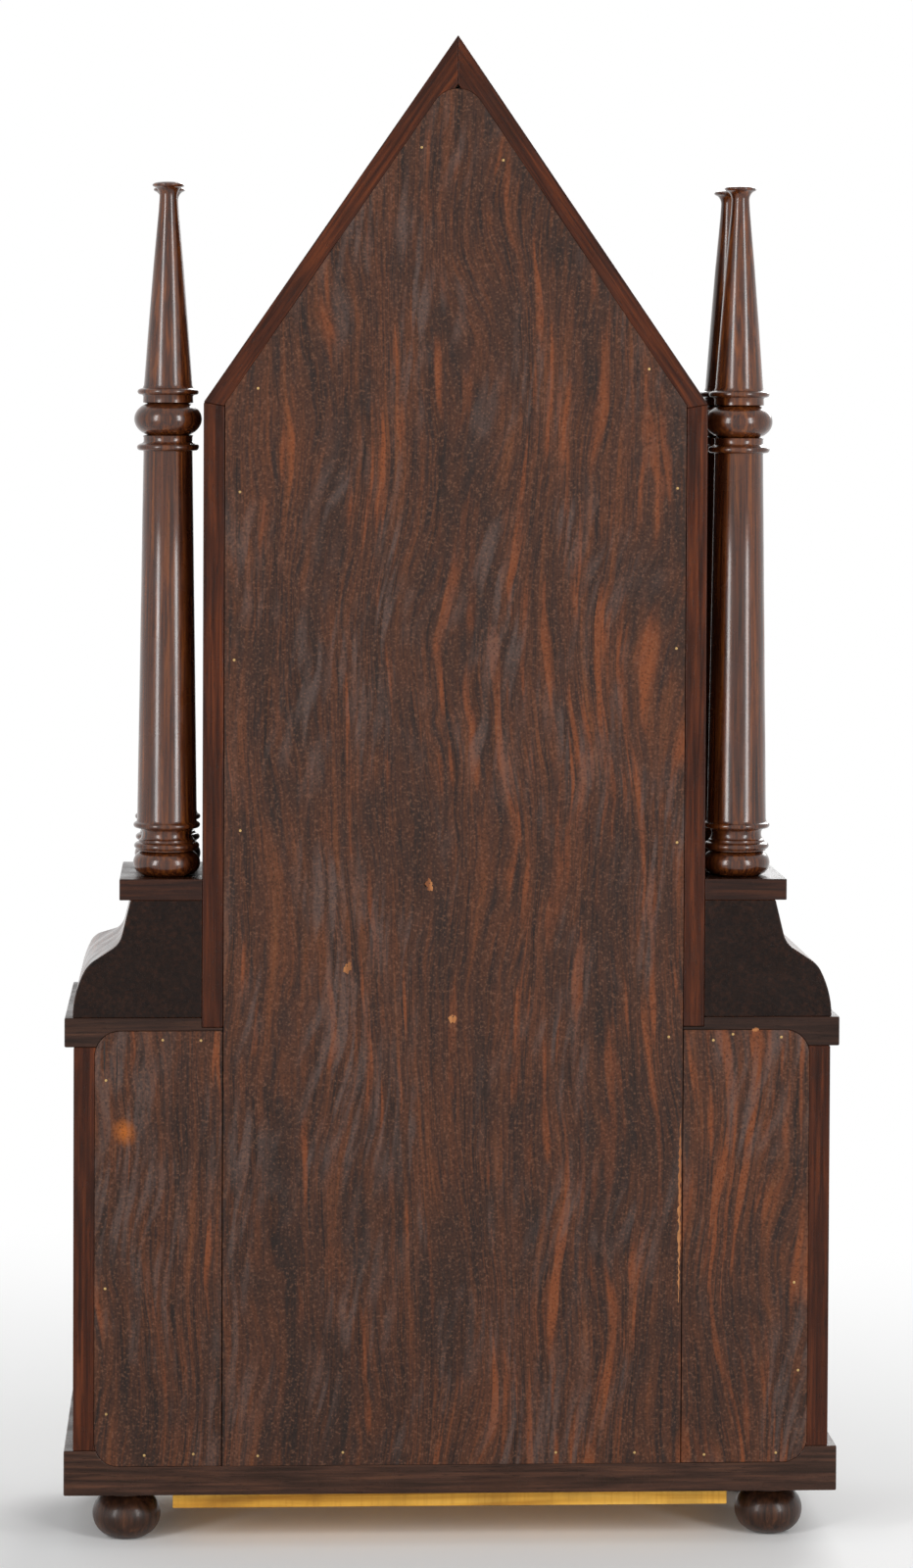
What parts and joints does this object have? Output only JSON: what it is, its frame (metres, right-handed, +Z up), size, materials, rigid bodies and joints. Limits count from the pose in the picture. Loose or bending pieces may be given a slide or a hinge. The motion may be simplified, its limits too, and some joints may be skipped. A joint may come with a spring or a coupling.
{
  "type": "double steeple shelf clock",
  "caption": "Pointed wooden shelf clock with turned candlestick columns on ogee shoulders, a wider lower case with doors, bun feet, brass movement, gong and leaf spring drive.",
  "frame": {"origin": "centre of the overall footprint on the surface the feet stand on", "axes": "+Z up, front (doors and dial) faces -Y, back boards face +Y, +X is the clock's right seen from the front"},
  "size_m": [0.339, 0.137, 0.6603],
  "materials": {
    "mahogany_edge": "french polished, dark",
    "back_pine": "stained pine",
    "raw_pine": "raw sawn pine",
    "turned_mahogany": "turned and polished",
    "door_veneer": "crotch veneer, polished",
    "glass": "old glass",
    "tablet": "reverse painted glass",
    "brass": "stamped brass",
    "steel": "bright steel wire",
    "blued_steel": "blued steel",
    "cast_iron": "black japanned iron",
    "dial_paint": "aged dial paint",
    "cord": "twisted linen cord",
    "knob_wood": "ebonised wood"
  },
  "bodies": {
    "case": {"base_frame": "mahogany_edge", "bottom_board": "raw_pine", "bun_feet": "turned_mahogany", "lower_side_left": "mahogany_edge", "lower_side_right": "mahogany_edge", "mid_board": "mahogany_edge", "ogee_left": "mahogany_edge", "ogee_right": "mahogany_edge", "ogee_front": "door_veneer", "cap_left": "mahogany_edge", "cap_right": "mahogany_edge", "cap_front": "mahogany_edge", "upper_side_left": "mahogany_edge", "upper_side_right": "mahogany_edge", "roof_left": "mahogany_edge", "roof_right": "mahogany_edge", "back_board_center": "back_pine", "back_board_left": "back_pine", "back_board_right": "back_pine", "front_candlesticks": "turned_mahogany", "rear_candlesticks": "turned_mahogany", "mounting_blocks": "raw_pine", "dial": "dial_paint", "movement_back_plate": "brass", "movement_front_plate": "brass", "movement_pillars": "brass", "gong_base": "cast_iron", "gong_coil": "blued_steel", "iron_brackets": "cast_iron", "leaf_spring": "steel", "case_hinge_leaves": "brass", "time_lines": "cord", "strike_lines": "cord"},
    "upper_door": {"upper_door_frame": "door_veneer", "upper_door_glass": "glass", "upper_door_tablet": "tablet", "upper_door_hinges": "brass"},
    "upper_knob": {"upper_door_knob": "knob_wood"},
    "lower_door": {"lower_door_frame": "door_veneer", "lower_door_tablet": "tablet", "lower_door_hinges": "brass"},
    "lower_knob": {"lower_door_knob": "knob_wood"},
    "minute": {"minute_hand": "blued_steel"},
    "hour": {"hour_hand": "blued_steel", "hour_wheel": "brass"},
    "minute_work": {"minute_wheel": "brass"},
    "center": {"center_arbor": "brass"},
    "time_barrel": {"time_drum": "brass"},
    "time_great": {"time_great_wheel": "brass"},
    "third": {"third_wheel": "brass"},
    "escape": {"escape_wheel": "brass"},
    "verge_body": {"verge": "steel"},
    "pendulum": {"pendulum_rod": "steel", "pendulum_bob": "brass"},
    "hammer_body": {"hammer": "steel"},
    "strike_barrel": {"strike_drum": "brass"},
    "strike_great": {"strike_great_wheel": "brass"},
    "strike_second": {"strike_pin_wheel": "brass"},
    "left_lever": {"lever_left": "cast_iron"},
    "right_lever": {"lever_right": "cast_iron"}
  },
  "joints": [
    {"name": "upper_door_swing", "type": "hinge", "parent": "case", "child": "upper_door", "pos_m": [0.09685, -0.0065, 0.3932], "axis": [0, 0, 1], "range_deg": [0, 105]},
    {"name": "upper_knob_turn", "type": "hinge", "parent": "upper_door", "child": "upper_knob", "pos_m": [-0.08625, -0.0045, 0.3772], "axis": [0, 1, 0], "range_deg": [-90, 0]},
    {"name": "lower_door_swing", "type": "hinge", "parent": "case", "child": "lower_door", "pos_m": [0.1525, -0.0565, 0.1316], "axis": [0, 0, 1], "range_deg": [0, 105]},
    {"name": "lower_knob_turn", "type": "hinge", "parent": "lower_door", "child": "lower_knob", "pos_m": [-0.1419, -0.0545, 0.1316], "axis": [0, 1, 0], "range_deg": [-90, 0]},
    {"name": "minute_hand_turn", "type": "hinge", "parent": "case", "child": "minute", "pos_m": [0, 0.0165, 0.4597], "axis": [0, 1, 0], "continuous": true},
    {"name": "hour_hand_turn", "type": "hinge", "parent": "case", "child": "hour", "pos_m": [0, 0.0165, 0.4597], "axis": [0, 1, 0], "continuous": true},
    {"name": "minute_wheel_turn", "type": "hinge", "parent": "case", "child": "minute_work", "pos_m": [0, 0.0235, 0.48142], "axis": [0, 1, 0], "continuous": true},
    {"name": "escape_turn", "type": "hinge", "parent": "case", "child": "escape", "pos_m": [0, 0.0385, 0.41713], "axis": [0, 1, 0], "continuous": true},
    {"name": "third_turn", "type": "hinge", "parent": "case", "child": "third", "pos_m": [0, 0.0385, 0.4354], "axis": [0, 1, 0], "continuous": true},
    {"name": "center_turn", "type": "hinge", "parent": "case", "child": "center", "pos_m": [0, 0.0385, 0.4597], "axis": [0, 1, 0], "continuous": true},
    {"name": "time_great_turn", "type": "hinge", "parent": "case", "child": "time_great", "pos_m": [0.031, 0.0485, 0.4481], "axis": [0, 1, 0], "continuous": true},
    {"name": "strike_great_turn", "type": "hinge", "parent": "case", "child": "strike_great", "pos_m": [-0.031, 0.0485, 0.4481], "axis": [0, 1, 0], "continuous": true},
    {"name": "strike_second_turn", "type": "hinge", "parent": "case", "child": "strike_second", "pos_m": [-0.01849, 0.0485, 0.47876], "axis": [0, 1, 0], "continuous": true},
    {"name": "pendulum_swing", "type": "hinge", "parent": "case", "child": "pendulum", "pos_m": [0, 0.0211, 0.40013], "axis": [0, 1, 0], "range_deg": [-5, 5]},
    {"name": "verge_rock", "type": "hinge", "parent": "case", "child": "verge_body", "pos_m": [0, 0.0385, 0.40013], "axis": [0, 1, 0], "range_deg": [-5, 5]},
    {"name": "hammer_lift", "type": "hinge", "parent": "case", "child": "hammer_body", "pos_m": [-0.043, 0.0385, 0.3937], "axis": [0, 1, 0], "range_deg": [0, 12]},
    {"name": "time_winding", "type": "hinge", "parent": "case", "child": "time_barrel", "pos_m": [0.031, 0.0385, 0.4481], "axis": [0, -1, 0], "range_deg": [0, 150]},
    {"name": "right_lever_lift", "type": "hinge", "parent": "case", "child": "right_lever", "pos_m": [0.143, 0.0367, 0.1213], "axis": [0, 1, 0], "range_deg": [0, 14], "deforming": ["time_lines"]},
    {"name": "strike_winding", "type": "hinge", "parent": "case", "child": "strike_barrel", "pos_m": [-0.031, 0.0385, 0.4481], "axis": [0, 1, 0], "range_deg": [0, 150]},
    {"name": "left_lever_lift", "type": "hinge", "parent": "case", "child": "left_lever", "pos_m": [-0.143, 0.0367, 0.1213], "axis": [0, -1, 0], "range_deg": [0, 14], "deforming": ["strike_lines"]}
  ],
  "couplings": [
    {"joint": "hour_hand_turn", "follows": "minute_hand_turn", "ratio": 0.083333},
    {"joint": "minute_wheel_turn", "follows": "minute_hand_turn", "ratio": -0.33333},
    {"joint": "third_turn", "follows": "escape_turn", "ratio": -0.1},
    {"joint": "center_turn", "follows": "escape_turn", "ratio": 0.0083333},
    {"joint": "time_great_turn", "follows": "escape_turn", "ratio": -0.0020833},
    {"joint": "strike_second_turn", "follows": "strike_great_turn", "ratio": -4},
    {"joint": "verge_rock", "follows": "pendulum_swing", "ratio": 1},
    {"joint": "right_lever_lift", "follows": "time_winding", "ratio": 0.08641},
    {"joint": "left_lever_lift", "follows": "strike_winding", "ratio": 0.08641}
  ]
}
